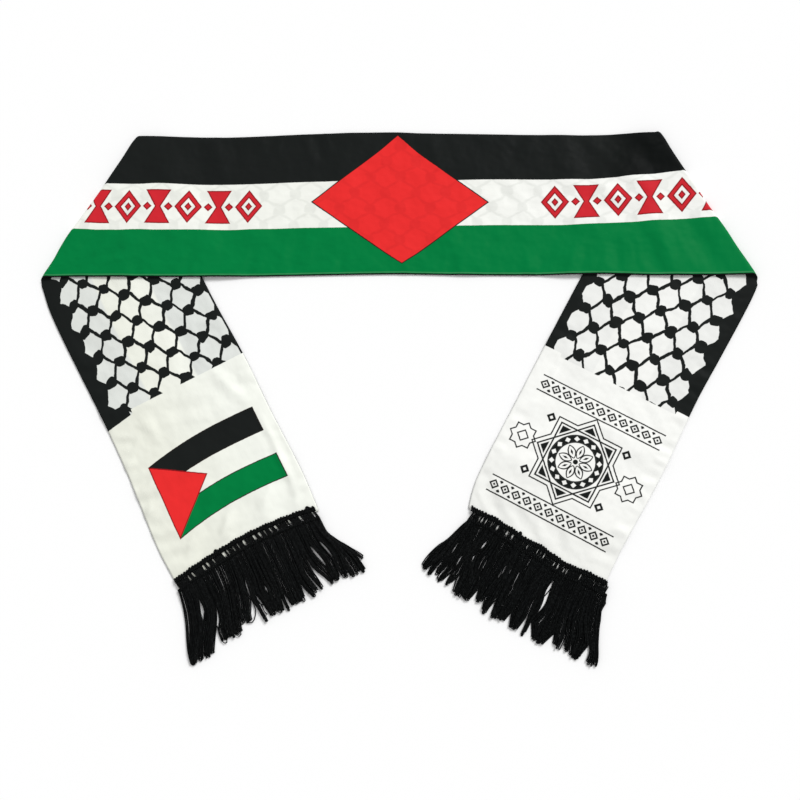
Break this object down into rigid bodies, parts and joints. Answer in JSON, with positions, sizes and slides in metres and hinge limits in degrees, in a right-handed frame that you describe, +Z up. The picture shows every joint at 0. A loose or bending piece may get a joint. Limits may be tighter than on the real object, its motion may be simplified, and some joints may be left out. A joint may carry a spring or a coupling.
{
  "type": "keffiyeh scarf",
  "caption": "Long narrow satin scarf of two printed plies, laid flat with both tails folded slantwise under its middle and a thread fringe on each end.",
  "frame": {"origin": "on the surface that the scarf lies on, below the middle of its box", "axes": "+X along the middle of the scarf, +Y towards its black edge and away from the tails, +Z up from the surface"},
  "size_m": [0.6585, 0.4867, 0.0069],
  "materials": {
    "striped_satin": "satin weave printed in black, white and green stripes with a red lozenge, soft sheen",
    "net_satin": "satin weave printed with a black fishnet on white, soft sheen",
    "fringe_yarn": "twisted black polyester yarn, matt"
  },
  "bodies": {
    "root": {"centre_striped_panel": "striped_satin", "centre_net_panel": "net_satin", "left_tail_net_panel": "net_satin", "left_tail_striped_panel": "striped_satin", "right_tail_net_panel": "net_satin", "right_tail_striped_panel": "striped_satin", "left_fringe": "fringe_yarn", "right_fringe": "fringe_yarn"}
  },
  "joints": []
}
